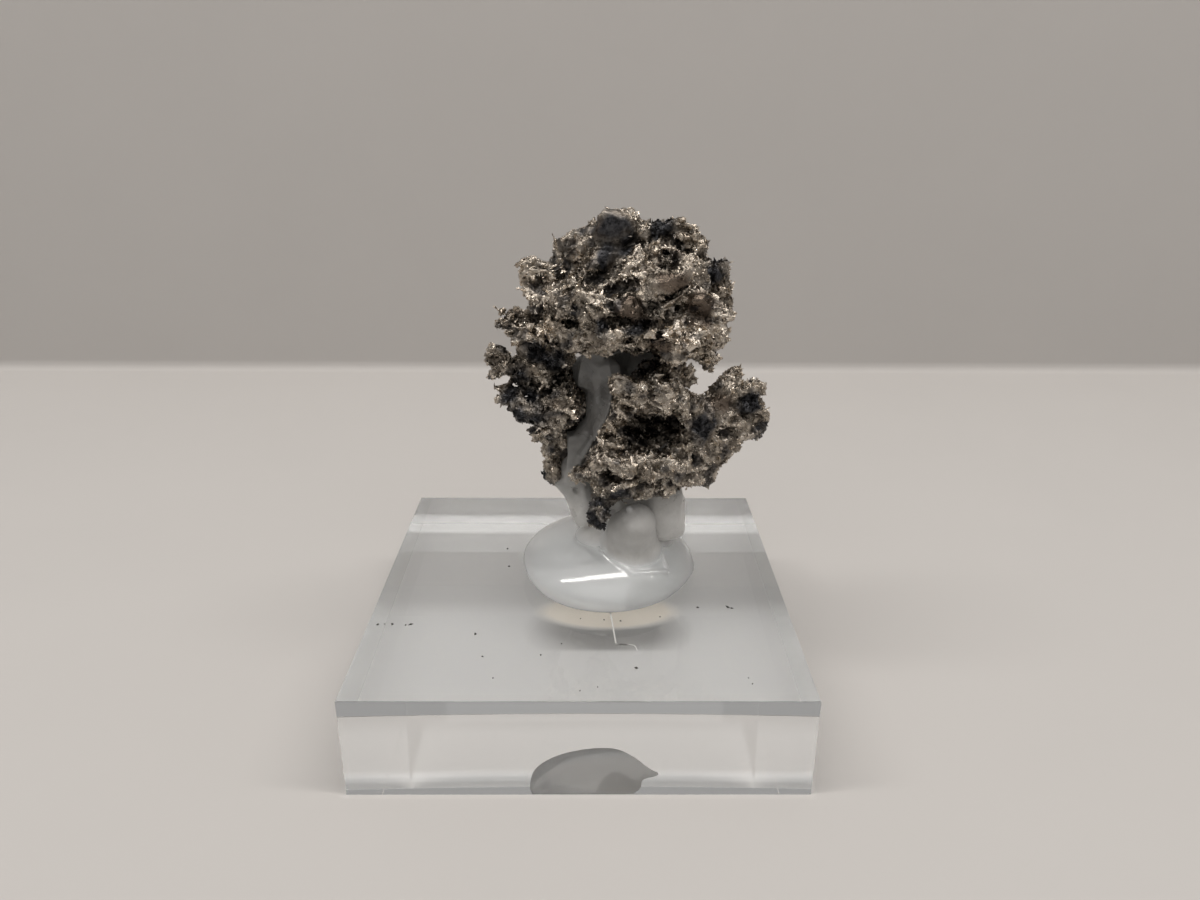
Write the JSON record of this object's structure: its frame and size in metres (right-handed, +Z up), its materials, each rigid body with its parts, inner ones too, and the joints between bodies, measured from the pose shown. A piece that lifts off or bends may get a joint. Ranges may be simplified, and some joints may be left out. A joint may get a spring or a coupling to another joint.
{
  "type": "native silver on calcite specimen on a clear display block",
  "caption": "Hackly, branching native silver grown over a small white calcite column, held by a mound of clear glue on a square clear acrylic block for display.",
  "frame": {"origin": "centre of the acrylic block's underside", "axes": "+Z up, -Y towards the specimen's show face, +X to the right as the show face is looked at"},
  "size_m": [0.0382, 0.0382, 0.0444],
  "materials": {
    "acrylic": "polished clear acrylic, refractive index 1.49",
    "glue": "clear, faintly milky hot-melt glue with a glossy skin",
    "calcite": "white, waxy and translucent",
    "silver": "hackly champagne-grey native silver with dark tarnish"
  },
  "bodies": {
    "root": {"acrylic_block": "acrylic", "glue_mound": "glue", "calcite_matrix": "calcite", "silver_crown": "silver", "silver_left_wing": "silver", "silver_left_lobe": "silver", "silver_arch": "silver", "silver_lower_band": "silver", "silver_right_wing": "silver"}
  },
  "joints": []
}
